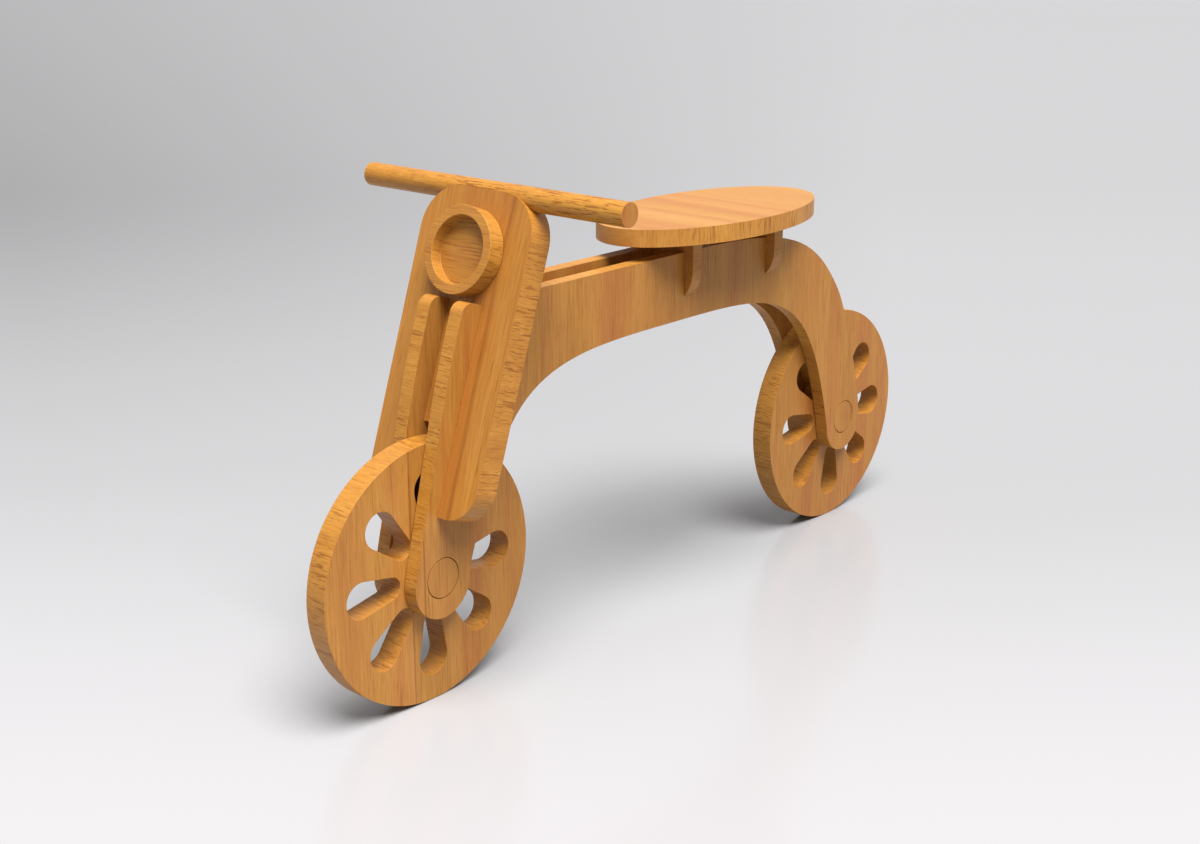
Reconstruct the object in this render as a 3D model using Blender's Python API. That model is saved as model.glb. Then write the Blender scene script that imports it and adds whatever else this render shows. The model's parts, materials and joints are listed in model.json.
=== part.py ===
"""Wooden balance bike.

Metres, +Z up. Forward is -Y and the rider's left is +X. The origin lies on
the ground, on the mid plane, halfway between the two wheel contact points.

Outlines are written in millimetres. A side outline uses (y, z): y runs back
from the front wheel centre and z runs up from the ground. Pieces that turn
with the handlebar use (v, u): u runs up along the raked steering direction
and v runs back from it, both from the front wheel centre.
"""
import math

import bmesh
import bpy
from mathutils import Matrix, Vector

MM = 0.001

# Wheels and axles
WHEEL_R = 125.0
WHEEL_T = 24.0
WHEELBASE = 651.0
AXLE_R = 19.0
RUNNING_FIT = 0.05
GAP = 0.3
HOLE_COUNT = 8
HOLE_OUTER_AT = 83.0
HOLE_OUTER_R = 17.2
HOLE_INNER_AT = 48.5
HOLE_INNER_R = 10.9
WHEEL_WASHER_T = 0.4
WHEEL_WASHER_R = 22.0
AXLE_SEAT_GAP = 0.6

# Side plates of the frame and of the fork share one spacing
PLATE_IN = 13.0
PLATE_OUT = 28.0
PLATE_T = PLATE_OUT - PLATE_IN
PLATE_MID = (PLATE_IN + PLATE_OUT) / 2

# Head board and steering
RAKE = math.radians(18.72)
BOARD_T = 25.0
BOARD_HALF = 69.0
BOARD_U = (55.4, 349.7)
BOARD_TOP_R = 42.0
BOARD_FOOT_R = 32.5
SLOT_TOP_U = 135.4
AXIS_V = 28.0
STEER_R = 8.0
STEER_WASHER_R = 14.0
BAR_R = 11.0
BAR_HALF = 161.0
BAR_AT = (-12.6, 348.2)
LIGHT_U = 291.6
LIGHT_R = 40.3
LIGHT_T = 17.4
LIGHT_RECESS_R = 31.1
LIGHT_RECESS_D = 11.9
LUG_T = 15.0
LUG_LOW_U = 129.0
LUG_HIGH_U = 277.5
LUG_R = 20.0
LOW_LUG_REACH = 15.0
TENON_DEPTH = 12.0
STEER_WASHER_T = 1.0

# Fork plates
FORK_FRONT_V = -47.75
FORK_REAR_V = 32.0
FORK_TOP_U = 247.9
FORK_TOP_R = 11.3
FORK_FOOT_R = 33.8
FORK_FOOT_Z = 120.0
FORK_SHIN_LEAN = math.radians(13.8)
FORK_SHIN_BEND_R = 606.0
FORK_CALF_U = (20.0, 40.0)

# Frame
FRAME_TOP_Z = 370.6
FRAME_BELLY_Z = 301.4
FRAME_FRONT_V = 15.0
FRAME_FOOT_U = 146.5
DROPOUT_Y = 650.5
DROPOUT_Z = 119.0
DROPOUT_R = 33.5

# Block inside the frame head that carries the steering dowel
BLOCK_TOE_V = 44.0
BLOCK_BACK_V = 56.0
BLOCK_HEEL_U = 172.0

# Seat and its two supports
SEAT_Y = 418.4
SEAT_TOP_Z = 403.5
SEAT_T = 17.5
SEAT_HALF_LENGTH = 153.6
SEAT_HALF_WIDTH = 80.5
SUPPORT_HALF = 39.0
SUPPORT_ROUND_Z = 352.0
SUPPORT_Y = (350.7, 490.9)
LAP_Z = 346.0

# Dowel pins
PIN_R = 3.0
PIN_L = 22.0
FORK_PIN_L = 24.0
FORK_PIN_U = (165.0, 222.0)
LUG_PIN_V = 16.0
LUG_PIN_U = 127.0
BAR_PIN_X = 30.0
SEAT_PIN_R = 4.0
SEAT_PIN_X = 20.0
HEAD_PIN_R = 4.0
HEAD_PIN_L = 42.0
HEAD_PIN_V = 48.5
HEAD_PIN_U = (182.0, 252.0)

WOOD = (0.56, 0.27, 0.085, 1.0)
WOOD_ROUGHNESS = 0.42
FIBRE = (0.12, 0.10, 0.08, 1.0)
FIBRE_ROUGHNESS = 0.7

FINE = 64
MEDIUM = 48
PIN_SIDES = 20
ORIGIN_Y = -WHEELBASE / 2


# ---------------------------------------------------------------- placement

def side_to_world(y, z, x=0.0):
    return Vector((x * MM, (y + ORIGIN_Y) * MM, z * MM))


def steer_to_side(v, u):
    y = v * math.cos(RAKE) + u * math.sin(RAKE)
    z = WHEEL_R + u * math.cos(RAKE) - v * math.sin(RAKE)
    return y, z


def steer_to_world(x, v, u):
    y, z = steer_to_side(v, u)
    return side_to_world(y, z, x)


def basis(first, second, third, origin):
    m = Matrix.Identity(4)
    for col, vec in enumerate((first, second, third, origin)):
        for row in range(3):
            m[row][col] = vec[row]
    return m


X = Vector((1, 0, 0))
Y = Vector((0, 1, 0))
Z = Vector((0, 0, 1))
U = Vector((0, math.sin(RAKE), math.cos(RAKE)))
V = Vector((0, math.cos(RAKE), -math.sin(RAKE)))


def in_side_plane(x):
    """Drawn in (y, z), thickness along X."""
    return basis(Y, Z, X, side_to_world(0, 0, x))


def in_board_plane(v):
    """Drawn in (x, u), thickness along the board normal."""
    return basis(X, U, -V, steer_to_world(0, v, 0))


def across_axis(u):
    """Drawn in (x, v), thickness along the steering direction."""
    return basis(X, V, U, steer_to_world(0, 0, u))


def in_cross_plane(y):
    """Drawn in (x, z), thickness along Y."""
    return basis(X, Z, -Y, side_to_world(y, 0, 0))


def in_ground_plane(z):
    """Drawn in (x, y), thickness along Z."""
    return basis(X, Y, Z, side_to_world(0, z, 0))


# ----------------------------------------------------------------- outlines

def arc(cx, cy, r, start, end, steps):
    pts = []
    for i in range(steps + 1):
        a = math.radians(start + (end - start) * i / steps)
        pts.append((cx + r * math.cos(a), cy + r * math.sin(a)))
    return pts


def ring(cx, cy, r, sides, ry=None):
    ry = ry or r
    pts = []
    for i in range(sides):
        a = 2 * math.pi * i / sides
        pts.append((cx + r * math.cos(a), cy + ry * math.sin(a)))
    return pts


def bezier(p0, p1, p2, p3, steps):
    pts = []
    for i in range(steps + 1):
        t = i / steps
        s = 1 - t
        w = (s ** 3, 3 * s * s * t, 3 * s * t * t, t ** 3)
        x = sum(k * p[0] for k, p in zip(w, (p0, p1, p2, p3)))
        y = sum(k * p[1] for k, p in zip(w, (p0, p1, p2, p3)))
        pts.append((x, y))
    return pts


def rounded(corners, step_deg=8.0):
    """Closed outline from (x, y) or (x, y, radius) corners."""
    pts = []
    count = len(corners)
    for i, corner in enumerate(corners):
        here = Vector(corner[:2])
        radius = corner[2] if len(corner) > 2 else 0.0
        if radius <= 0:
            pts.append(tuple(here))
            continue
        before = (Vector(corners[i - 1][:2]) - here).normalized()
        after = (Vector(corners[(i + 1) % count][:2]) - here).normalized()
        half = before.angle(after) / 2
        centre = here + (before + after).normalized() * (radius / math.sin(half))
        start = here + before * (radius / math.tan(half)) - centre
        end = here + after * (radius / math.tan(half)) - centre
        a0 = math.atan2(start.y, start.x)
        turn = math.atan2(end.y, end.x) - a0
        turn = (turn + math.pi) % (2 * math.pi) - math.pi
        steps = max(2, round(abs(math.degrees(turn)) / step_deg))
        for k in range(steps + 1):
            a = a0 + turn * k / steps
            pts.append((centre.x + radius * math.cos(a), centre.y + radius * math.sin(a)))
    return pts


def teardrop(angle):
    """Hole that narrows from its round outer end towards the hub."""
    span = HOLE_OUTER_AT - HOLE_INNER_AT
    lean = math.degrees(math.asin((HOLE_OUTER_R - HOLE_INNER_R) / span))
    pts = arc(HOLE_OUTER_AT, 0, HOLE_OUTER_R, -90 - lean, 90 + lean, 20)
    pts += arc(HOLE_INNER_AT, 0, HOLE_INNER_R, 90 + lean, 270 - lean, 8)
    c, s = math.cos(angle), math.sin(angle)
    return [(x * c - y * s, x * s + y * c) for x, y in pts]


def fork_outline():
    """Round foot about the axle, and a front edge that bends to the rake."""
    lean = math.degrees(FORK_SHIN_LEAN)
    foot = arc(0, FORK_FOOT_Z, FORK_FOOT_R, -180 - lean, 0, 24)
    toe_y, toe_z = foot[0]
    toe_v = toe_y * math.cos(RAKE) - (toe_z - WHEEL_R) * math.sin(RAKE)
    run = (toe_v - FORK_FRONT_V) / math.sin(RAKE - FORK_SHIN_LEAN)
    bend = (toe_y + run * math.sin(FORK_SHIN_LEAN), toe_z + run * math.cos(FORK_SHIN_LEAN))
    calf = bezier((FORK_FOOT_R, FORK_FOOT_Z), (FORK_FOOT_R, FORK_FOOT_Z + 8),
                  steer_to_side(FORK_REAR_V, FORK_CALF_U[0]),
                  steer_to_side(FORK_REAR_V, FORK_CALF_U[1]), 8)
    front_v = -BOARD_T - GAP
    slot_u = SLOT_TOP_U - GAP
    corners = [
        steer_to_side(FORK_REAR_V, LUG_LOW_U - GAP),
        steer_to_side(0, LUG_LOW_U - GAP),
        steer_to_side(0, slot_u),
        steer_to_side(front_v, slot_u),
        steer_to_side(front_v, FORK_TOP_U),
        steer_to_side(FORK_FRONT_V, FORK_TOP_U) + (FORK_TOP_R,),
        bend + (FORK_SHIN_BEND_R,),
    ]
    return rounded(corners + foot + calf[1:], 6.0)


def frame_outline():
    rear_rim = bezier((355.8, FRAME_TOP_Z), (525.4, FRAME_TOP_Z), (576.5, 354.7), (627.6, 283.2), 18)
    rear_back = bezier((627.6, 283.2), (646.2, 257.3), (684.0, 151.7), (684.0, DROPOUT_Z), 12)
    dropout = arc(DROPOUT_Y, DROPOUT_Z, DROPOUT_R, 0, -180, 18)
    rear_knee = bezier((DROPOUT_Y - DROPOUT_R, DROPOUT_Z), (575.5, 291.4), (521.2, FRAME_BELLY_Z),
                       (348.2, FRAME_BELLY_Z), 26)
    front_knee = bezier((295.9, FRAME_BELLY_Z), (192.7, FRAME_BELLY_Z), (129.5, 297.0), (90.6, 249.0), 18)
    head_top_y = (FRAME_FRONT_V + (FRAME_TOP_Z - WHEEL_R) * math.sin(RAKE)) / math.cos(RAKE)
    head = [(*steer_to_side(FRAME_FRONT_V, FRAME_FOOT_U), 6.0), (head_top_y, FRAME_TOP_Z, 8.0)]
    path = rear_rim + rear_back[1:] + dropout[1:] + rear_knee[1:] + front_knee
    return rounded(head + path, 15.0)


# ------------------------------------------------------------------ helpers

def fresh_scene():
    for obj in list(bpy.data.objects):
        bpy.data.objects.remove(obj, do_unlink=True)


def collection(name):
    coll = bpy.data.collections.new(name)
    bpy.context.scene.collection.children.link(coll)
    return coll


def wood(name, color=WOOD, roughness=WOOD_ROUGHNESS):
    mat = bpy.data.materials.new(name)
    mat.use_nodes = True
    shader = mat.node_tree.nodes["Principled BSDF"]
    shader.inputs["Base Color"].default_value = color
    shader.inputs["Roughness"].default_value = roughness
    shader.inputs["Metallic"].default_value = 0.0
    mat.diffuse_color = color
    return mat


def outline_mesh(name, outlines, thickness):
    """Flat plate from closed outlines; the inner ones become holes."""
    curve = bpy.data.curves.new(name, "CURVE")
    curve.dimensions = "2D"
    curve.fill_mode = "BOTH"
    curve.extrude = thickness * MM / 2
    for pts in outlines:
        spline = curve.splines.new("POLY")
        spline.points.add(len(pts) - 1)
        for point, (x, y) in zip(spline.points, pts):
            point.co = (x * MM, y * MM, 0, 1)
        spline.use_cyclic_u = True
    holder = bpy.data.objects.new(name + "_outline", curve)
    bpy.context.scene.collection.objects.link(holder)
    bpy.context.view_layer.update()
    graph = bpy.context.evaluated_depsgraph_get()
    mesh = bpy.data.meshes.new_from_object(holder.evaluated_get(graph))
    bpy.data.objects.remove(holder)
    bpy.data.curves.remove(curve)
    return mesh


def finish_mesh(mesh, matrix, origin):
    mesh.transform(Matrix.Translation(-origin) @ matrix)
    bm = bmesh.new()
    bm.from_mesh(mesh)
    bmesh.ops.remove_doubles(bm, verts=bm.verts, dist=1e-6)
    bmesh.ops.recalc_face_normals(bm, faces=bm.faces)
    bm.to_mesh(mesh)
    bm.free()


def add_object(name, mesh, origin, coll, material=None):
    mesh.name = name
    obj = bpy.data.objects.new(name, mesh)
    obj.location = origin
    coll.objects.link(obj)
    if material is not None:
        mesh.materials.clear()
        mesh.materials.append(material)
        mesh.shade_smooth()
        mesh.set_sharp_from_angle(angle=math.radians(30))
    return obj


def plate(name, outlines, thickness, matrix, origin, coll, material=None):
    mesh = outline_mesh(name, outlines, thickness)
    finish_mesh(mesh, matrix, origin)
    return add_object(name, mesh, origin, coll, material)


def rod(name, radius, length, sides, matrix, origin, coll, material=None):
    """Round rod centred on the matrix, running along its third axis."""
    bm = bmesh.new()
    bmesh.ops.create_cone(bm, cap_ends=True, segments=sides, radius1=radius * MM,
                          radius2=radius * MM, depth=length * MM)
    mesh = bpy.data.meshes.new(name)
    bm.to_mesh(mesh)
    bm.free()
    finish_mesh(mesh, matrix, origin)
    return add_object(name, mesh, origin, coll, material)


def cut(target, cutter):
    mod = target.modifiers.new(cutter.name, "BOOLEAN")
    mod.operation = "DIFFERENCE"
    mod.solver = "EXACT"
    mod.object = cutter
    cutter.hide_render = True
    cutter.display_type = "WIRE"


def along_x(v, u):
    return basis(U, V, -X, steer_to_world(0, v, u))


def along_u(x, v, u):
    return basis(X, V, U, steer_to_world(x, v, u))


def along_v(x, v, u):
    return basis(X, U, -V, steer_to_world(x, v, u))


def along_z(x, y, z):
    return basis(X, Y, Z, side_to_world(y, z, x))


def box_outline(x0, x1, y0, y1):
    return [(x0, y0), (x1, y0), (x1, y1), (x0, y1)]


# ------------------------------------------------------------------- pieces

def build_wheel(name, y, coll, mats):
    origin = side_to_world(y, WHEEL_R)
    outlines = [ring(0, 0, WHEEL_R, 96), ring(0, 0, AXLE_R + RUNNING_FIT, FINE)]
    outlines += [teardrop(2 * math.pi * k / HOLE_COUNT) for k in range(HOLE_COUNT)]
    hub = basis(Y, Z, X, origin)
    plate(name + "_wheel", outlines, WHEEL_T, hub, origin, coll, mats[name + "_wheel"])
    rod(name + "_axle", AXLE_R, 2 * PLATE_OUT, FINE, hub, origin, coll, mats[name + "_axle"])
    washer = [ring(0, 0, WHEEL_WASHER_R, FINE), ring(0, 0, AXLE_R + GAP, FINE)]
    offset = (WHEEL_T / 2 + PLATE_IN) / 2
    for label, sign in (("left", 1), ("right", -1)):
        at = basis(Y, Z, X, origin + X * (sign * offset * MM))
        full = name + "_washer_" + label
        plate(full, washer, WHEEL_WASHER_T, at, origin, coll, mats[full])


def build_board(coll, cutters, mats, pivot):
    foot, top = BOARD_U
    half_slot = PLATE_OUT + GAP
    outline = rounded([
        (-BOARD_HALF, foot, BOARD_FOOT_R), (-half_slot, foot),
        (-half_slot, SLOT_TOP_U), (half_slot, SLOT_TOP_U),
        (half_slot, foot), (BOARD_HALF, foot, BOARD_FOOT_R),
        (BOARD_HALF, top, BOARD_TOP_R), (-BOARD_HALF, top, BOARD_TOP_R),
    ], 6.0)
    board = plate("head_board", [outline], BOARD_T, in_board_plane(-BOARD_T / 2), pivot,
                  coll, mats["head_board"])
    groove = rod("cut_bar_groove", BAR_R + GAP, 2 * BAR_HALF, MEDIUM, along_x(*BAR_AT),
                 pivot, cutters)
    cut(board, groove)
    low = LUG_HIGH_U - GAP
    high = LUG_HIGH_U + LUG_T + GAP
    mortise = plate("cut_lug_mortise", [box_outline(-LUG_R - GAP, LUG_R + GAP, low, high)],
                    2 * (TENON_DEPTH + GAP), in_board_plane(0), pivot, cutters)
    cut(board, mortise)
    return board


def build_handlebar(coll, mats, pivot):
    return rod("handlebar", BAR_R, 2 * BAR_HALF, MEDIUM, along_x(*BAR_AT), pivot, coll,
               mats["handlebar"])


def build_headlight(coll, cutters, mats, pivot):
    back = -BOARD_T - GAP
    front = -BOARD_T - LIGHT_T
    middle = (back + front) / 2
    light = rod("headlight", LIGHT_R, back - front, FINE, along_v(0, middle, LIGHT_U), pivot,
                coll, mats["headlight"])
    recess = rod("cut_light_recess", LIGHT_RECESS_R, 2 * LIGHT_RECESS_D, FINE,
                 along_v(0, front, LIGHT_U), pivot, cutters)
    cut(light, recess)


def build_fork(coll, mats, pivot):
    forks = {}
    outline = fork_outline()
    bore = ring(0, WHEEL_R, AXLE_R + AXLE_SEAT_GAP, FINE)
    for label, sign in (("left", 1), ("right", -1)):
        name = "fork_plate_" + label
        forks[label] = plate(name, [outline, bore], PLATE_T, in_side_plane(sign * PLATE_MID),
                             pivot, coll, mats[name])
    return forks


def lug_outline(half, reach, front):
    return rounded([(-half, front), (half, front), (half, AXIS_V + reach, reach),
                    (-half, AXIS_V + reach, reach)], 10.0)


def build_lugs(coll, mats, pivot):
    """Two lugs on the back of the board with the dowel that the frame turns on."""
    bore = ring(0, AXIS_V, STEER_R + GAP, MEDIUM)
    plate("head_lug_upper", [lug_outline(LUG_R, LUG_R - 0.05, -TENON_DEPTH), bore], LUG_T,
          across_axis(LUG_HIGH_U + LUG_T / 2), pivot, coll, mats["head_lug_upper"])
    low = plate("head_lug_lower", [lug_outline(PLATE_OUT, LOW_LUG_REACH, GAP), bore],
                LUG_T, across_axis(LUG_LOW_U + LUG_T / 2), pivot, coll, mats["head_lug_lower"])
    length = LUG_HIGH_U + LUG_T - LUG_LOW_U
    rod("steering_dowel", STEER_R, length, MEDIUM,
        along_u(0, AXIS_V, LUG_LOW_U + length / 2), pivot, coll, mats["steering_dowel"])
    washer = [ring(0, AXIS_V, STEER_WASHER_R, MEDIUM), ring(0, AXIS_V, STEER_R + GAP, MEDIUM)]
    for label, u in (("lower", LUG_LOW_U + LUG_T + GAP),
                     ("upper", LUG_HIGH_U - GAP - STEER_WASHER_T)):
        name = "steering_washer_" + label
        plate(name, washer, STEER_WASHER_T, across_axis(u + STEER_WASHER_T / 2), pivot, coll,
              mats[name])
    return low


def pin_and_holes(name, radius, length, frame, hosts, origin, coll, cutters, mats):
    """A dowel pin and its blind holes in the pieces it joins."""
    rod(name, radius, length, PIN_SIDES, frame, origin, coll, mats[name])
    hole = rod("cut_" + name, radius + GAP, length + 2 * GAP, PIN_SIDES, frame, origin, cutters)
    for host in hosts:
        cut(host, hole)


def build_front_pins(board, bar, forks, low_lug, coll, cutters, mats, pivot):
    joint_v = -BOARD_T - GAP / 2
    for label, sign in (("left", 1), ("right", -1)):
        x = sign * PLATE_MID
        for level, u in zip(("lower", "upper"), FORK_PIN_U):
            pin_and_holes("fork_pin_" + label + "_" + level, PIN_R, FORK_PIN_L,
                          along_v(x, joint_v, u), (forks[label], board), pivot, coll, cutters, mats)
        pin_and_holes("lug_pin_" + label, PIN_R, PIN_L, along_u(x, LUG_PIN_V, LUG_PIN_U),
                      (forks[label], low_lug), pivot, coll, cutters, mats)
        groove_floor = BAR_AT[1] - BAR_R
        pin_and_holes("bar_pin_" + label, PIN_R, PIN_L,
                      along_u(sign * BAR_PIN_X, BAR_AT[0], groove_floor), (board, bar), pivot,
                      coll, cutters, mats)


def build_frame(coll, cutters, mats, origin):
    outline = frame_outline()
    bore = ring(WHEELBASE, WHEEL_R, AXLE_R + AXLE_SEAT_GAP, FINE)
    plates = []
    slots = []
    for label, y in zip(("front", "rear"), SUPPORT_Y):
        reach = PLATE_T / 2 + GAP
        slots.append(plate("cut_frame_slot_" + label,
                           [box_outline(y - reach, y + reach, LAP_Z - GAP, FRAME_TOP_Z + 10)],
                           3 * PLATE_OUT, in_side_plane(0), origin, cutters))
    for label, sign in (("left", 1), ("right", -1)):
        name = "frame_plate_" + label
        side = plate(name, [outline, bore], PLATE_T, in_side_plane(sign * PLATE_MID), origin,
                     coll, mats[name])
        for slot in slots:
            cut(side, slot)
        plates.append(side)
    return plates


def build_head_block(coll, cutters, mats, origin):
    foot = LUG_LOW_U + LUG_T + STEER_WASHER_T + 2 * GAP
    top = LUG_HIGH_U - STEER_WASHER_T - 2 * GAP
    corners = [(FRAME_FRONT_V, foot), (BLOCK_TOE_V, foot), (BLOCK_BACK_V, BLOCK_HEEL_U),
               (BLOCK_BACK_V, top), (FRAME_FRONT_V, top)]
    outline = [steer_to_side(v, u) for v, u in corners]
    block = plate("head_block", [outline], 2 * (PLATE_IN - GAP), in_side_plane(0), origin,
                  coll, mats["head_block"])
    bore = rod("cut_steering_bore", STEER_R + RUNNING_FIT, 200.0, MEDIUM,
               along_u(0, AXIS_V, (foot + top) / 2), origin, cutters)
    cut(block, bore)
    return block


def build_supports(coll, cutters, mats, origin):
    top = SEAT_TOP_Z - SEAT_T - GAP
    dome = arc(0, SUPPORT_ROUND_Z, SUPPORT_HALF, -180, 0, 28)
    outline = dome + [(SUPPORT_HALF, top), (-SUPPORT_HALF, top)]
    supports = []
    laps = []
    for label, sign in (("left", 1), ("right", -1)):
        x0, x1 = sorted((sign * (PLATE_IN - GAP), sign * (PLATE_OUT + GAP)))
        laps.append(plate("cut_support_lap_" + label, [box_outline(x0, x1, 290.0, LAP_Z)], 400.0,
                          in_cross_plane(SEAT_Y), origin, cutters))
    for label, y in zip(("front", "rear"), SUPPORT_Y):
        name = "seat_support_" + label
        support = plate(name, [outline], PLATE_T, in_cross_plane(y), origin, coll, mats[name])
        for lap in laps:
            cut(support, lap)
        supports.append(support)
    return supports


def build_seat(supports, coll, cutters, mats, origin):
    rim = ring(0, SEAT_Y, SEAT_HALF_WIDTH, 96, SEAT_HALF_LENGTH)
    seat = plate("seat", [rim], SEAT_T, in_ground_plane(SEAT_TOP_Z - SEAT_T / 2), origin, coll,
                 mats["seat"])
    under = SEAT_TOP_Z - SEAT_T - GAP / 2
    for level, y, support in zip(("front", "rear"), SUPPORT_Y, supports):
        for label, sign in (("left", 1), ("right", -1)):
            pin_and_holes("seat_pin_" + level + "_" + label, SEAT_PIN_R, PIN_L,
                          along_z(sign * SEAT_PIN_X, y, under), (seat, support), origin, coll,
                          cutters, mats)


def piece_names():
    names = ["head_board", "handlebar", "headlight", "fork_plate_left", "fork_plate_right",
             "head_lug_upper", "head_lug_lower", "steering_dowel", "steering_washer_upper",
             "steering_washer_lower", "frame_plate_left", "frame_plate_right", "head_block",
             "head_pin_upper", "head_pin_lower", "seat", "seat_support_front",
             "seat_support_rear"]
    for side in ("left", "right"):
        names += ["fork_pin_" + side + "_lower", "fork_pin_" + side + "_upper"]
        names += ["lug_pin_" + side, "bar_pin_" + side]
        names += ["seat_pin_front_" + side, "seat_pin_rear_" + side]
        names += ["front_washer_" + side, "rear_washer_" + side]
    for end in ("front", "rear"):
        names += [end + "_wheel", end + "_axle"]
    return names


def main():
    fresh_scene()
    coll = collection("balance_bike")
    cutters = collection("cutters")
    mats = {}
    for name in piece_names():
        is_fibre = "washer" in name
        mats[name] = wood(name + "_material", FIBRE if is_fibre else WOOD,
                          FIBRE_ROUGHNESS if is_fibre else WOOD_ROUGHNESS)
    pivot = steer_to_world(0, AXIS_V, (LUG_LOW_U + LUG_HIGH_U) / 2)
    ground = Vector((0, 0, 0))

    board = build_board(coll, cutters, mats, pivot)
    bar = build_handlebar(coll, mats, pivot)
    build_headlight(coll, cutters, mats, pivot)
    forks = build_fork(coll, mats, pivot)
    low_lug = build_lugs(coll, mats, pivot)
    build_front_pins(board, bar, forks, low_lug, coll, cutters, mats, pivot)
    build_wheel("front", 0.0, coll, mats)

    plates = build_frame(coll, cutters, mats, ground)
    block = build_head_block(coll, cutters, mats, ground)
    for label, u in zip(("lower", "upper"), HEAD_PIN_U):
        pin_and_holes("head_pin_" + label, HEAD_PIN_R, HEAD_PIN_L, along_x(HEAD_PIN_V, u),
                      (*plates, block), ground, coll, cutters, mats)
    supports = build_supports(coll, cutters, mats, ground)
    build_seat(supports, coll, cutters, mats, ground)
    build_wheel("rear", WHEELBASE, coll, mats)


main()
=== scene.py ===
"""Wooden balance bike: finished pieces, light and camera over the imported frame."""

import json
import math

import bmesh
import bpy
from mathutils import Matrix, Vector

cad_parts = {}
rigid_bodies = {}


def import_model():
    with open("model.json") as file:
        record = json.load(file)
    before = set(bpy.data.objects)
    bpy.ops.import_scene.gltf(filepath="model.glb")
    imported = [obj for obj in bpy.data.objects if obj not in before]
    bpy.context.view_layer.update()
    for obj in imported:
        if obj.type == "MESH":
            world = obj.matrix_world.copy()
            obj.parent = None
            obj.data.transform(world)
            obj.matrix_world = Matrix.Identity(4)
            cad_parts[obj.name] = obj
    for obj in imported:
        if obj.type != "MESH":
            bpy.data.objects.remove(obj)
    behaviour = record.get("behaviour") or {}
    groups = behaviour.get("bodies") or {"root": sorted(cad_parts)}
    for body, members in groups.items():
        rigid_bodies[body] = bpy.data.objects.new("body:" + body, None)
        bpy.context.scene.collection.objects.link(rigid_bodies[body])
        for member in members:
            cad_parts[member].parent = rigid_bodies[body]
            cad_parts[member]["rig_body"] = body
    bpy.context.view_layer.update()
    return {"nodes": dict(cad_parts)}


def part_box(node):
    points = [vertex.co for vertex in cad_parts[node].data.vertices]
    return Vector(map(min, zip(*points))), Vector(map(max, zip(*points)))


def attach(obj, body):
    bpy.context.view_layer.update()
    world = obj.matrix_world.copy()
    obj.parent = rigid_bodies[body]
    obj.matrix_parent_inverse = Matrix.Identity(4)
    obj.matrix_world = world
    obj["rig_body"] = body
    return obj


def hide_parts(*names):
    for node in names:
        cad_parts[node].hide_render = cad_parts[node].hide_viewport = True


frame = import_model()

RAKE = math.radians(18.72)
X = Vector((1, 0, 0))
Y = Vector((0, 1, 0))
Z = Vector((0, 0, 1))
UP_HEAD = Vector((0, math.sin(RAKE), math.cos(RAKE)))
BACK_HEAD = Vector((0, math.cos(RAKE), -math.sin(RAKE)))


# ------------------------------------------------------------- node helpers

class Tree:
    """Short calls for building a node tree."""

    def __init__(self, tree):
        self.tree = tree

    def node(self, kind, **settings):
        made = self.tree.nodes.new(kind)
        for key, value in settings.items():
            setattr(made, key, value)
        return made

    def plug(self, socket, value):
        if isinstance(value, bpy.types.NodeSocket):
            self.tree.links.new(value, socket)
        else:
            socket.default_value = value

    def math(self, op, a, b=0.0, clamp=False):
        made = self.node("ShaderNodeMath", operation=op, use_clamp=clamp)
        self.plug(made.inputs[0], a)
        self.plug(made.inputs[1], b)
        return made.outputs[0]

    def vec(self, op, a, b=(0, 0, 0)):
        made = self.node("ShaderNodeVectorMath", operation=op)
        self.plug(made.inputs[0], a)
        self.plug(made.inputs[1], b)
        return made.outputs["Value" if op == "DOT_PRODUCT" else "Vector"]

    def noise(self, vector, detail=2.0, roughness=0.5, distortion=0.0):
        made = self.node("ShaderNodeTexNoise")
        self.plug(made.inputs["Vector"], vector)
        made.inputs["Scale"].default_value = 1.0
        made.inputs["Detail"].default_value = detail
        made.inputs["Roughness"].default_value = roughness
        made.inputs["Distortion"].default_value = distortion
        return made.outputs["Fac"]

    def step(self, value, low, high, to_low=0.0, to_high=1.0):
        made = self.node("ShaderNodeMapRange", interpolation_type="SMOOTHSTEP")
        self.plug(made.inputs["Value"], value)
        for key, number in zip(("From Min", "From Max", "To Min", "To Max"),
                               (low, high, to_low, to_high)):
            made.inputs[key].default_value = number
        return made.outputs["Result"]

    def mix(self, factor, a, b, blend="MIX"):
        made = self.node("ShaderNodeMix", data_type="RGBA", blend_type=blend)
        self.plug(made.inputs["Factor"], factor)
        self.plug(made.inputs["A"], a)
        self.plug(made.inputs["B"], b)
        return made.outputs["Result"]

    def mix_float(self, factor, a, b):
        made = self.node("ShaderNodeMix", data_type="FLOAT")
        self.plug(made.inputs["Factor"], factor)
        self.plug(made.inputs["A"], a)
        self.plug(made.inputs["B"], b)
        return made.outputs["Result"]

    def ramp(self, factor, stops):
        made = self.node("ShaderNodeValToRGB")
        elements = made.color_ramp.elements
        while len(elements) < len(stops):
            elements.new(0.5)
        for element, (position, color) in zip(elements, stops):
            element.position = position
            element.color = (*color, 1.0)
        self.plug(made.inputs["Fac"], factor)
        return made.outputs["Color"]


# --------------------------------------------------------------------- wood

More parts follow.
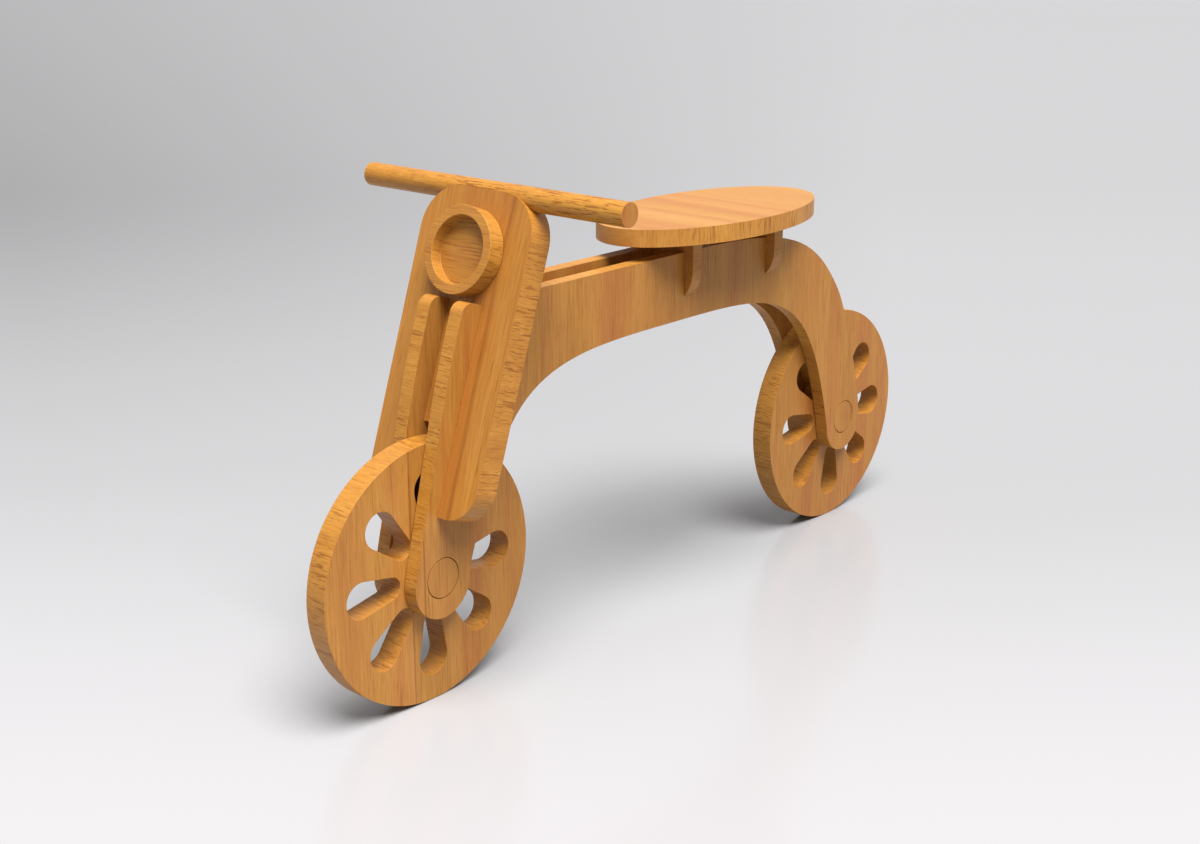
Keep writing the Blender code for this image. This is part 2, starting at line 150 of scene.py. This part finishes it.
FACE_STOPS = [(0.30, (0.60, 0.228, 0.040)), (0.44, (0.67, 0.272, 0.046)),
              (0.56, (0.72, 0.308, 0.056)), (0.72, (0.79, 0.364, 0.076))]
EDGE_STOPS = [(0.30, (0.60, 0.230, 0.030)), (0.46, (0.71, 0.300, 0.042)),
              (0.58, (0.79, 0.350, 0.054)), (0.74, (0.87, 0.420, 0.078))]
LINE_TINT = (0.62, 0.50, 0.40, 1.0)
PORE_TINT = (0.62, 0.50, 0.38, 1.0)
STROKE_TINT = (0.56, 0.43, 0.30, 1.0)
BLUSH_TINT = (0.92, 0.76, 0.84, 1.0)
GOLD_TINT = (1.00, 1.05, 0.90, 1.0)
STREAK_TINT = (0.42, 0.24, 0.16, 1.0)
WORN_TINT = (1.10, 1.12, 1.18, 1.0)
PALE_TINT = (1.16, 1.22, 1.35, 1.0)
RUST_TINT = (0.92, 0.80, 0.72, 1.0)
HOLE_SHADE_TINT = (0.90, 0.87, 0.85, 1.0)
BOUNCE_SHADE_TINT = (0.50, 0.62, 0.85, 1.0)

# Noise scales, in waves per metre along, across and through the board.
FACE_DRIFT_SCALE = (5, 14, 14)
FACE_BAND_SCALE = (1.4, 30, 30)
FACE_FIBRE_SCALE = (15, 380, 380)
FACE_BLUSH_SCALE = (0.9, 34, 20)
FACE_LINE_SCALE = (18, 620, 620)
FACE_PATCH_SCALE = (9, 60, 60)
FACE_PALE_SCALE = (16, 540, 540)
FACE_PORE_SCALE = (42, 1000, 1000)
EDGE_RIPPLE_SCALE = (40, 40, 75)
EDGE_BROAD_SCALE = (26, 26, 8)
EDGE_FIBRE_SCALE = (500, 500, 20)
EDGE_STROKE_SCALE = (580, 580, 40)
EDGE_FINE_SCALE = (1000, 1000, 70)
EDGE_PATCH_SCALE = (26, 26, 6)
EDGE_PALE_SCALE = (620, 620, 45)

# How far the grain wanders, in metres, to either side of the noise's middle value.
NOISE_MIDDLE = 0.5
DRIFT_ACROSS = 0.014
DRIFT_THROUGH = 0.006
EDGE_RIPPLE = 0.0030

# Detail of the noise, and how rough its fibres are.
LITTLE_DETAIL = 1.0
SOME_DETAIL = 2.0
FINE_DETAIL = 3.0
FIBRE_ROUGHNESS = 0.65

# Noise values between which each mark fades in. Two more numbers are its weakest and strongest.
BLUSH_FADE = (0.54, 0.72)
GOLD_FADE = (0.32, 0.46)
LINE_FADE = (0.52, 0.70)
FACE_PATCH_FADE = (0.40, 0.60, 0.20, 1.0)
FACE_PALE_FADE = (0.33, 0.44)
PORE_FADE = (0.58, 0.70)
STROKE_FADE = (0.54, 0.66)
FINE_FADE = (0.54, 0.68)
EDGE_PATCH_FADE = (0.36, 0.60, 0.25, 1.0)
EDGE_PALE_FADE = (0.34, 0.44)

# Shares of the broad bands and of the fibres in the colour of the wood.
FACE_BAND_SHARE = 0.50
FACE_FIBRE_SHARE = 0.50
EDGE_BROAD_SHARE = 0.45
EDGE_FIBRE_SHARE = 0.55

# The blush is taken from another part of the noise than the bands.
BLUSH_OFFSET = (0.3, 0.7, 0.1)

# How strongly each mark shows.
BLUSH_AMOUNT = 0.80
GOLD_AMOUNT = 0.7
LINE_AMOUNT = 0.50
FACE_PALE_AMOUNT = 0.45
PORE_AMOUNT = 0.40
EDGE_PALE_AMOUNT = 0.6
EDGE_FINE_AMOUNT = 0.40
EDGE_FINE_DEPTH = 0.6
CORNER_GAIN = 3.0

# Gloss and relief of the finished wood.
BASE_ROUGHNESS = 0.36
FIBRE_TO_ROUGHNESS = 0.12
MARK_TO_ROUGHNESS = 0.14
FIBRE_HEIGHT = 0.4
BUMP_STRENGTH = 0.30
BUMP_DEPTH = 0.0004
WOOD_SPECULAR = 0.5

# Cosine of the angle to the board's normal where the face grain gives way to the edge grain.
FACE_FADE = (0.55, 0.85)
LONG_EDGE_FADE = (0.72, 0.92)

# A glued seam: half width of the change of tone, and reach and strength of the dark line.
SEAM_HALF = 0.0003
SEAM_REACH = 0.0014
SEAM_AMOUNT = 0.60

# Every board takes its own part of the endless grain, this far on per unit of seed.
SEED_STEP = (1.7, 0.37, 0.53)


def face_grain(t, point, contrast):
    """Fine straight lines and soft coloured bands that run along the board."""
    drift = t.noise(t.vec("MULTIPLY", point, FACE_DRIFT_SCALE), SOME_DETAIL)
    drift = t.math("SUBTRACT", drift, NOISE_MIDDLE)
    shift = t.node("ShaderNodeCombineXYZ")
    t.plug(shift.inputs["Y"], t.math("MULTIPLY", drift, DRIFT_ACROSS))
    t.plug(shift.inputs["Z"], t.math("MULTIPLY", drift, DRIFT_THROUGH))
    bent = t.vec("ADD", point, shift.outputs["Vector"])
    bands = t.noise(t.vec("MULTIPLY", bent, FACE_BAND_SCALE), SOME_DETAIL)
    tone = t.noise(t.vec("MULTIPLY", bent, FACE_FIBRE_SCALE), FINE_DETAIL, FIBRE_ROUGHNESS)
    blend = t.math("ADD", t.math("MULTIPLY", bands, FACE_BAND_SHARE),
                   t.math("MULTIPLY", tone, FACE_FIBRE_SHARE))
    color = t.ramp(blend, FACE_STOPS)
    aside = t.vec("ADD", bent, BLUSH_OFFSET)
    blush = t.noise(t.vec("MULTIPLY", aside, FACE_BLUSH_SCALE), LITTLE_DETAIL)
    color = t.mix(t.step(blush, *BLUSH_FADE, 0.0, BLUSH_AMOUNT), color, BLUSH_TINT, "MULTIPLY")
    color = t.mix(t.step(blush, *GOLD_FADE, GOLD_AMOUNT, 0.0), color, GOLD_TINT, "MULTIPLY")
    lines = t.noise(t.vec("MULTIPLY", bent, FACE_LINE_SCALE), LITTLE_DETAIL)
    patch = t.noise(t.vec("MULTIPLY", bent, FACE_PATCH_SCALE), LITTLE_DETAIL)
    lines = t.math("MULTIPLY", t.step(lines, *LINE_FADE), t.step(patch, *FACE_PATCH_FADE))
    lines = t.math("MULTIPLY", lines, t.math("MULTIPLY", contrast, LINE_AMOUNT), clamp=True)
    color = t.mix(lines, color, LINE_TINT, "MULTIPLY")
    pale = t.noise(t.vec("MULTIPLY", bent, FACE_PALE_SCALE), LITTLE_DETAIL)
    pale = t.step(pale, *FACE_PALE_FADE, FACE_PALE_AMOUNT, 0.0)
    color = t.mix(t.math("MULTIPLY", pale, contrast, clamp=True), color, PALE_TINT, "MULTIPLY")
    pores = t.noise(t.vec("MULTIPLY", bent, FACE_PORE_SCALE), LITTLE_DETAIL)
    pores = t.step(pores, *PORE_FADE)
    pitted = t.math("MULTIPLY", pores, t.math("MULTIPLY", contrast, PORE_AMOUNT))
    color = t.mix(pitted, color, PORE_TINT, "MULTIPLY")
    return color, tone, t.math("MAXIMUM", lines, pores), t.vec("DOT_PRODUCT", bent, (0, 1, 0))


def edge_grain(t, point, strokes):
    """Fine dark strokes, a little wavy, that run through the thickness."""
    ripple = t.noise(t.vec("MULTIPLY", point, EDGE_RIPPLE_SCALE), LITTLE_DETAIL)
    ripple = t.math("MULTIPLY", t.math("SUBTRACT", ripple, NOISE_MIDDLE), EDGE_RIPPLE)
    wave = t.node("ShaderNodeCombineXYZ")
    t.plug(wave.inputs["X"], ripple)
    t.plug(wave.inputs["Y"], ripple)
    waved = t.vec("ADD", point, wave.outputs["Vector"])
    broad = t.noise(t.vec("MULTIPLY", point, EDGE_BROAD_SCALE), SOME_DETAIL)
    tone = t.noise(t.vec("MULTIPLY", waved, EDGE_FIBRE_SCALE), FINE_DETAIL, FIBRE_ROUGHNESS)
    blend = t.math("ADD", t.math("MULTIPLY", broad, EDGE_BROAD_SHARE),
                   t.math("MULTIPLY", tone, EDGE_FIBRE_SHARE))
    color = t.ramp(blend, EDGE_STOPS)
    dark = t.noise(t.vec("MULTIPLY", waved, EDGE_STROKE_SCALE), LITTLE_DETAIL)
    fine = t.noise(t.vec("MULTIPLY", waved, EDGE_FINE_SCALE), LITTLE_DETAIL)
    fine = t.step(fine, *FINE_FADE)
    patch = t.noise(t.vec("MULTIPLY", point, EDGE_PATCH_SCALE), LITTLE_DETAIL)
    dark = t.math("MULTIPLY", t.step(dark, *STROKE_FADE), t.step(patch, *EDGE_PATCH_FADE))
    dark = t.math("MULTIPLY", dark, strokes, clamp=True)
    pale = t.noise(t.vec("MULTIPLY", waved, EDGE_PALE_SCALE), LITTLE_DETAIL)
    pale = t.step(pale, *EDGE_PALE_FADE, EDGE_PALE_AMOUNT, 0.0)
    color = t.mix(t.math("MULTIPLY", pale, strokes, clamp=True), color, PALE_TINT, "MULTIPLY")
    color = t.mix(dark, color, STROKE_TINT, "MULTIPLY")
    color = t.mix(t.math("MULTIPLY", fine, EDGE_FINE_AMOUNT), color, PORE_TINT, "MULTIPLY")
    return color, tone, t.math("MAXIMUM", dark, t.math("MULTIPLY", fine, EDGE_FINE_DEPTH))


def wood_group():
    """Grain from a point given along, across and through the board."""
    group = bpy.data.node_groups.new("wood_grain", "ShaderNodeTree")
    face = group.interface
    face.new_socket("Point", in_out="INPUT", socket_type="NodeSocketVector")
    for label in ("Face", "Contrast", "Strokes"):
        face.new_socket(label, in_out="INPUT", socket_type="NodeSocketFloat")
    face.new_socket("Color", in_out="OUTPUT", socket_type="NodeSocketColor")
    for label in ("Roughness", "Height", "Across"):
        face.new_socket(label, in_out="OUTPUT", socket_type="NodeSocketFloat")
    t = Tree(group)
    source = t.node("NodeGroupInput")
    point, is_face = source.outputs["Point"], source.outputs["Face"]
    face_color, face_tone, face_marks, across = face_grain(t, point, source.outputs["Contrast"])
    edge_color, edge_tone, edge_marks = edge_grain(t, point, source.outputs["Strokes"])
    color = t.mix(is_face, edge_color, face_color)
    corner = t.math("MULTIPLY", is_face, t.math("SUBTRACT", 1.0, is_face))
    color = t.mix(t.math("MULTIPLY", corner, CORNER_GAIN, clamp=True), color, WORN_TINT, "MULTIPLY")
    marks = t.mix_float(is_face, edge_marks, face_marks)
    relief = t.mix_float(is_face, edge_tone, face_tone)
    rough = t.math("ADD", t.math("MULTIPLY", relief, FIBRE_TO_ROUGHNESS),
                   t.math("MULTIPLY", marks, MARK_TO_ROUGHNESS))
    out = t.node("NodeGroupOutput")
    t.plug(out.inputs["Color"], color)
    t.plug(out.inputs["Roughness"], t.math("ADD", rough, BASE_ROUGHNESS))
    t.plug(out.inputs["Height"],
           t.math("SUBTRACT", t.math("MULTIPLY", relief, FIBRE_HEIGHT), marks))
    t.plug(out.inputs["Across"], across)
    return group


WOOD = wood_group()


class Board:
    """How one piece of wood is cut and marked.

    along and normal: the grain's direction and the direction its two faces look.
    seed: which part of the endless grain it is cut from.
    contrast and strokes: how strong the marks are on the faces and on the edges.
    streaks: (offset across, half width, strength, tint) of coloured bands.
    seams: (offset across, tint beyond it) of glued joints that show on the faces.
    long_edges: the sides along the grain show the face grain too.
    round_over: how far the edges are rounded, in metres.
    tint and painted_edge_lighting: multiply the whole piece, and all but its faces; the second is
    painted light where it is lighter and painted shade where it is darker.
    hole_shade_within: inside this radius the walls of the cut holes are darkened, painted shade in
    the holes.
    """

    def __init__(self, along, normal, seed, contrast=1.0, strokes=0.8, streaks=(), seams=(),
                 long_edges=False, round_over=0.0006, tint=(1.0, 1.0, 1.0), painted_edge_lighting=None,
                 hole_shade_within=0.0):
        self.along = along
        self.normal = normal
        self.seed = seed
        self.contrast = contrast
        self.strokes = strokes
        self.streaks = streaks
        self.seams = seams
        self.long_edges = long_edges
        self.round_over = round_over
        self.tint = tint
        self.painted_edge_lighting = painted_edge_lighting
        self.hole_shade_within = hole_shade_within


def wood(name, board, centre):
    """The material of one board, laid out from its centre."""
    mat = bpy.data.materials.new(name)
    mat.use_nodes = True
    t = Tree(mat.node_tree)
    shader = mat.node_tree.nodes["Principled BSDF"]
    normal = board.normal
    across = normal.cross(board.along)
    turn = Matrix((board.along, across, normal)).transposed()
    coords = t.node("ShaderNodeTexCoord")
    place = t.node("ShaderNodeMapping", vector_type="TEXTURE")
    t.plug(place.inputs["Vector"], coords.outputs["Object"])
    place.inputs["Location"].default_value = centre
    place.inputs["Rotation"].default_value = turn.to_euler()
    local = place.outputs["Vector"]
    facing = t.math("ABSOLUTE", t.vec("DOT_PRODUCT", coords.outputs["Normal"], tuple(normal)))
    is_face = t.step(facing, *FACE_FADE)
    if board.long_edges:
        sideways = t.math("ABSOLUTE", t.vec("DOT_PRODUCT", coords.outputs["Normal"], tuple(across)))
        is_face = t.math("MAXIMUM", is_face, t.step(sideways, *LONG_EDGE_FADE))
    shift = [board.seed * size for size in SEED_STEP]
    grain = t.node("ShaderNodeGroup", node_tree=WOOD)
    t.plug(grain.inputs["Point"], t.vec("ADD", local, shift))
    t.plug(grain.inputs["Face"], is_face)
    grain.inputs["Contrast"].default_value = board.contrast
    grain.inputs["Strokes"].default_value = board.strokes
    color = t.mix(1.0, grain.outputs["Color"], (*board.tint, 1.0), "MULTIPLY")
    # Painted lighting on all but the faces: a lighter tint is painted light, a darker one painted
    # shade.
    if board.painted_edge_lighting:
        rim = t.step(facing, *FACE_FADE, 1.0, 0.0)
        color = t.mix(rim, color, (*board.painted_edge_lighting, 1.0), "MULTIPLY")
    wander = t.math("SUBTRACT", grain.outputs["Across"], shift[1])
    for offset, width, strength, tint in board.streaks:
        away = t.math("DIVIDE", t.math("SUBTRACT", wander, offset), width)
        glow = t.math("EXPONENT", t.math("MULTIPLY", t.math("MULTIPLY", away, away), -1.0))
        amount = t.math("MULTIPLY", t.math("MULTIPLY", glow, strength), is_face)
        color = t.mix(amount, color, tint, "MULTIPLY")
    straight = t.vec("DOT_PRODUCT", local, (0, 1, 0))
    for offset, tone in board.seams:
        beyond = t.step(straight, offset - SEAM_HALF, offset + SEAM_HALF)
        color = t.mix(t.math("MULTIPLY", beyond, is_face), color, (*tone, 1.0), "MULTIPLY")
        away = t.math("ABSOLUTE", t.math("SUBTRACT", straight, offset))
        line = t.math("MULTIPLY", t.step(away, SEAM_HALF, SEAM_REACH, SEAM_AMOUNT, 0.0), is_face)
        color = t.mix(line, color, STREAK_TINT, "MULTIPLY")
    # Painted shade: inside this radius the walls of the holes are darkened, where little light
    # reaches.
    if board.hole_shade_within:
        out = t.math("SQRT", t.math("SUBTRACT", t.vec("DOT_PRODUCT", local, local),
                                    t.math("POWER", t.vec("DOT_PRODUCT", local, (0, 0, 1)), 2.0)))
        hole_wall_shade = t.math("MULTIPLY", t.math("LESS_THAN", out, board.hole_shade_within),
                      t.math("SUBTRACT", 1.0, is_face))
        color = t.mix(hole_wall_shade, color, HOLE_SHADE_TINT, "MULTIPLY")
    bump = t.node("ShaderNodeBump")
    bump.inputs["Strength"].default_value = BUMP_STRENGTH
    bump.inputs["Distance"].default_value = BUMP_DEPTH
    t.plug(bump.inputs["Height"], grain.outputs["Height"])
    # Painted shade: the wood is darker and bluer as seen by bounced light, which dims and greys the
    # shade in its hollows and under the seat.
    bounced = t.node("ShaderNodeLightPath").outputs["Is Diffuse Ray"]
    color = t.mix(bounced, color, BOUNCE_SHADE_TINT, "MULTIPLY")
    t.plug(shader.inputs["Base Color"], color)
    t.plug(shader.inputs["Roughness"], grain.outputs["Roughness"])
    t.plug(shader.inputs["Normal"], bump.outputs["Normal"])
    shader.inputs["Specular IOR Level"].default_value = WOOD_SPECULAR
    return mat


WASHER_SCALE = (900, 900, 900)
WASHER_STOPS = [(0.35, (0.07, 0.055, 0.045)), (0.65, (0.13, 0.105, 0.085))]
WASHER_ROUGHNESS = (0.3, 0.7, 0.6, 0.8)


def washer_material():
    """Dark pressed fibre."""
    mat = bpy.data.materials.new("washer_fibre")
    mat.use_nodes = True
    t = Tree(mat.node_tree)
    shader = mat.node_tree.nodes["Principled BSDF"]
    coords = t.node("ShaderNodeTexCoord")
    speck = t.noise(t.vec("MULTIPLY", coords.outputs["Object"], WASHER_SCALE), SOME_DETAIL)
    t.plug(shader.inputs["Base Color"], t.ramp(speck, WASHER_STOPS))
    t.plug(shader.inputs["Roughness"], t.step(speck, *WASHER_ROUGHNESS))
    return mat


# ------------------------------------------------------------------- pieces

def body_of(node):
    return frame["nodes"][node].get("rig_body")


def middle(node):
    low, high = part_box(node)
    return (low + high) / 2


# Cleaning of the CAD mesh and rounding of its edges.
WELD = 2e-6
FLAT_ANGLE = math.radians(0.4)
SHARP_ANGLE = math.radians(32)
ROUND_STEPS = 2
NORMAL_WEIGHT = 60


def finished(node, round_over):
    """The CAD solid as a clean mesh with its edges rounded over."""
    bm = bmesh.new()
    bm.from_mesh(frame["nodes"][node].data)
    bmesh.ops.remove_doubles(bm, verts=bm.verts, dist=WELD)
    bmesh.ops.dissolve_limit(bm, angle_limit=FLAT_ANGLE, verts=bm.verts, edges=bm.edges)
    mesh = bpy.data.meshes.new(node + "_finished")
    bm.to_mesh(mesh)
    bm.free()
    mesh.shade_smooth()
    piece = bpy.data.objects.new(node + "_finished", mesh)
    bpy.context.scene.collection.objects.link(piece)
    bevel = piece.modifiers.new("round_over", "BEVEL")
    bevel.width = round_over
    bevel.segments = ROUND_STEPS
    bevel.limit_method = "ANGLE"
    bevel.angle_limit = SHARP_ANGLE
    bevel.miter_outer = "MITER_ARC"
    bevel.use_clamp_overlap = True
    normals = piece.modifiers.new("flat_faces", "WEIGHTED_NORMAL")
    normals.keep_sharp = True
    normals.weight = NORMAL_WEIGHT
    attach(piece, body_of(node))
    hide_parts(node)
    return piece


def dress(piece, mat):
    piece.data.materials.clear()
    piece.data.materials.append(mat)


# The direction the board faces, the tint beyond a seam, the painted shade on an axle's edges at the
# gap around it, and the radius of a wheel that holds all its holes, within which the hole walls get
# painted shade.
FRONT = -BACK_HEAD
LIGHTER = (1.09, 1.10, 1.16)
AXLE_GAP_SHADE = (0.36, 0.30, 0.26)
HOLES_WITHIN = 0.108

BOARDS = {
    # The head board's edges are tinted lighter and paler: painted light.
    "head_board": Board(UP_HEAD, FRONT, 1.0, tint=(0.96, 0.93, 0.84), painted_edge_lighting=(1.14, 1.14, 1.20),
                        streaks=[(-0.0400, 0.0030, 0.42, STREAK_TINT),
                                 (-0.0360, 0.0090, 0.35, RUST_TINT),
                                 (-0.0580, 0.0014, 0.60, PALE_TINT)]),
    "headlight": Board(X, FRONT, 2.3, contrast=1.7),
    "fork_plate_left": Board(Z, X, 3.1, seams=[(0.0415, LIGHTER)]),
    "fork_plate_right": Board(Z, X, 4.7),
    "head_lug_upper": Board(X, UP_HEAD, 5.2),
    "head_lug_lower": Board(X, UP_HEAD, 6.9),
    "frame_plate_left": Board(Z, X, 7.4, streaks=[(0.147, 0.012, 0.75, BLUSH_TINT),
                                                  (0.0176, 0.002, 0.60, BLUSH_TINT),
                                                  (-0.248, 0.014, 0.75, BLUSH_TINT)]),
    "frame_plate_right": Board(Z, X, 8.8),
    "head_block": Board(Z, X, 9.6),
    # The seat is tinted paler and bluer all over, a painted sheen, and its edges lighter and warmer,
    # painted light.
    "seat": Board(X, Z, 10.3, contrast=0.25, long_edges=True, tint=(1.0, 1.07, 1.30),
                  painted_edge_lighting=(1.10, 1.04, 0.94),
                  streaks=[(-0.105, 0.014, 0.80, BLUSH_TINT), (-0.048, 0.007, 0.80, BLUSH_TINT),
                           (-0.012, 0.004, 0.70, BLUSH_TINT), (0.030, 0.007, 0.60, BLUSH_TINT)]),
    "seat_support_front": Board(X, Y, 11.9, strokes=0.25),
    "seat_support_rear": Board(X, Y, 12.4, strokes=0.25),
    "handlebar": Board(Z, X, 13.7, strokes=0.95, round_over=0.0010, tint=(1.02, 1.02, 0.94)),
    "front_wheel": Board(Z, X, 14.5, hole_shade_within=HOLES_WITHIN, seams=[(0.0235, LIGHTER)]),
    "rear_wheel": Board(Z, X, 15.8, hole_shade_within=HOLES_WITHIN, streaks=[(-0.073, 0.006, 0.90, BLUSH_TINT),
                                                            (0.048, 0.012, 0.75, BLUSH_TINT)]),
    # The axles' edges are darkened: painted shade at the gap around them.
    "front_axle": Board(Z, X, 16.1, round_over=0.0007, painted_edge_lighting=AXLE_GAP_SHADE),
    "rear_axle": Board(Z, X, 17.6, round_over=0.0009, painted_edge_lighting=AXLE_GAP_SHADE),
}
PIN = Board(Z, X, 20.0)


def build_pieces():
    washer = washer_material()
    for node, board in BOARDS.items():
        piece = finished(node, board.round_over)
        dress(piece, wood(node + "_wood", board, middle(node)))
    pin_wood = wood("pin_wood", PIN, Vector((0, 0, 0)))
    for node, obj in frame["nodes"].items():
        if node in BOARDS:
            continue
        dress(obj, washer if "washer" in node else pin_wood)


# -------------------------------------------------------- floor, light, eye

# The camera, solved from the photograph.
AZIMUTH = math.radians(41.1685)
ELEVATION = math.radians(17.605)
ROLL = math.radians(0.12)
LENS = 50.33
SENSOR = 36.0
CAMERA_AT = (1.0570, -1.2878, 0.7181)

# The sweep of the floor is laid out along and across this direction.
AWAY = (-math.sin(AZIMUTH), math.cos(AZIMUTH), 0)
SIDE = (math.cos(AZIMUTH), math.sin(AZIMUTH), 0)
FLOOR_SIZE = 60
FLOOR_AT = (0, 0, -0.0002)
FLOOR_FOCUS = 1.7
FLOOR_FOCUS_MIN = 0.4
FLOOR_NEAR = (-0.55, 0.45, 0.648, 0.522)
FLOOR_FAR = (0.3, 3.0, 1.0, 0.90)
FLOOR_SIDE_DIM = {"From Min": -0.36, "From Max": 0.16, "To Min": 0.47, "To Max": 1.08}
FLOOR_DIM_FROM = (-0.2, 2.6)
FLOOR_BOUNCE = 0.42
FLOOR_WARMTH = (-0.6, 0.1, 1.022, 1.0)
FLOOR_GREEN = 0.992
FLOOR_BLUE = 1.006
FLOOR_ROUGHNESS = 0.18
FLOOR_SPECULAR = 0.35

# The room: what lights the bike, and the plain pale tone that is seen and mirrored.
ROOM_STOPS = [(0.45, (0.105, 0.107, 0.112)), (0.70, (0.15, 0.15, 0.155)), (1.0, (0.37, 0.37, 0.38))]
ROOM_SEEN = (0.62, 0.62, 0.63, 1)
KEY_TOWARD = (0.345, -0.160, 0.925)
KEY_POWER = 3.98
KEY_WIDTH = math.radians(40)


def build_floor():
    """Pale sweep: brightest in front of the bike and darker far off to one side, a fall of light
    painted into its colour.
    """
    bpy.ops.mesh.primitive_plane_add(size=FLOOR_SIZE, location=FLOOR_AT)
    floor = bpy.context.object
    floor.name = "floor"
    mat = bpy.data.materials.new("floor_pale")
    mat.use_nodes = True
    t = Tree(mat.node_tree)
    shader = mat.node_tree.nodes["Principled BSDF"]
    point = t.node("ShaderNodeTexCoord").outputs["Object"]
    depth = t.vec("DOT_PRODUCT", point, AWAY)
    spread = t.math("MAXIMUM", t.math("ADD", depth, FLOOR_FOCUS), FLOOR_FOCUS_MIN)
    lateral = t.math("DIVIDE", t.vec("DOT_PRODUCT", point, SIDE), spread)
    sweep = t.math("MULTIPLY", t.step(depth, *FLOOR_NEAR), t.step(depth, *FLOOR_FAR))
    dim = t.node("ShaderNodeMapRange")
    t.plug(dim.inputs["Value"], lateral)
    for key, number in FLOOR_SIDE_DIM.items():
        dim.inputs[key].default_value = number
    shade = t.mix_float(t.step(depth, *FLOOR_DIM_FROM), 1.0, dim.outputs["Result"])
    level = t.math("MULTIPLY", sweep, shade)
    # Painted shade: the floor is darker as seen by bounced light, so it lights the bike less from
    # below.
    bounced = t.node("ShaderNodeLightPath").outputs["Is Diffuse Ray"]
    level = t.math("MULTIPLY", level, t.mix_float(bounced, 1.0, FLOOR_BOUNCE))
    tone = t.node("ShaderNodeCombineColor")
    t.plug(tone.inputs["Red"], t.math("MULTIPLY", level, t.step(depth, *FLOOR_WARMTH)))
    t.plug(tone.inputs["Green"], t.math("MULTIPLY", level, FLOOR_GREEN))
    t.plug(tone.inputs["Blue"], t.math("MULTIPLY", level, FLOOR_BLUE))
    t.plug(shader.inputs["Base Color"], tone.outputs["Color"])
    shader.inputs["Roughness"].default_value = FLOOR_ROUGHNESS
    shader.inputs["Specular IOR Level"].default_value = FLOOR_SPECULAR
    floor.data.materials.append(mat)


def build_light():
    """A broad light from above the front left, in a pale room that is brighter overhead."""
    world = bpy.data.worlds.new("studio")
    bpy.context.scene.world = world
    world.use_nodes = True
    t = Tree(world.node_tree)
    back = world.node_tree.nodes["Background"]
    split = t.node("ShaderNodeSeparateXYZ")
    t.plug(split.inputs[0], t.node("ShaderNodeTexCoord").outputs["Generated"])
    # From 0 straight down to 1 straight up.
    height = t.math("ADD", t.math("MULTIPLY", split.outputs["Z"], 0.5), 0.5)
    room = t.ramp(height, ROOM_STOPS)
    rays = t.node("ShaderNodeLightPath")
    seen = t.math("MAXIMUM", rays.outputs["Is Camera Ray"], rays.outputs["Is Glossy Ray"])
    t.plug(back.inputs["Color"], t.mix(seen, room, ROOM_SEEN))
    back.inputs["Strength"].default_value = 1.0
    light = bpy.data.lights.new("key", "SUN")
    light.energy = KEY_POWER
    light.angle = KEY_WIDTH
    key = bpy.data.objects.new("key", light)
    key.rotation_euler = Vector(KEY_TOWARD).to_track_quat("Z", "Y").to_euler()
    bpy.context.scene.collection.objects.link(key)


def build_camera():
    flat = math.cos(ELEVATION)
    back = Vector((math.sin(AZIMUTH) * flat, -math.cos(AZIMUTH) * flat, math.sin(ELEVATION)))
    right = Vector(SIDE)
    up = back.cross(right)
    tilted = right * math.cos(ROLL) + up * math.sin(ROLL)
    upright = up * math.cos(ROLL) - right * math.sin(ROLL)
    cam = bpy.data.objects.new("camera", bpy.data.cameras.new("camera"))
    cam.data.lens = LENS
    cam.data.sensor_width = SENSOR
    pose = Matrix((tilted, upright, back)).transposed().to_4x4()
    pose.translation = CAMERA_AT
    cam.matrix_world = pose
    bpy.context.scene.collection.objects.link(cam)
    bpy.context.scene.camera = cam


build_camera()
build_floor()
build_light()
build_pieces()
bpy.context.scene.view_settings.view_transform = "Standard"
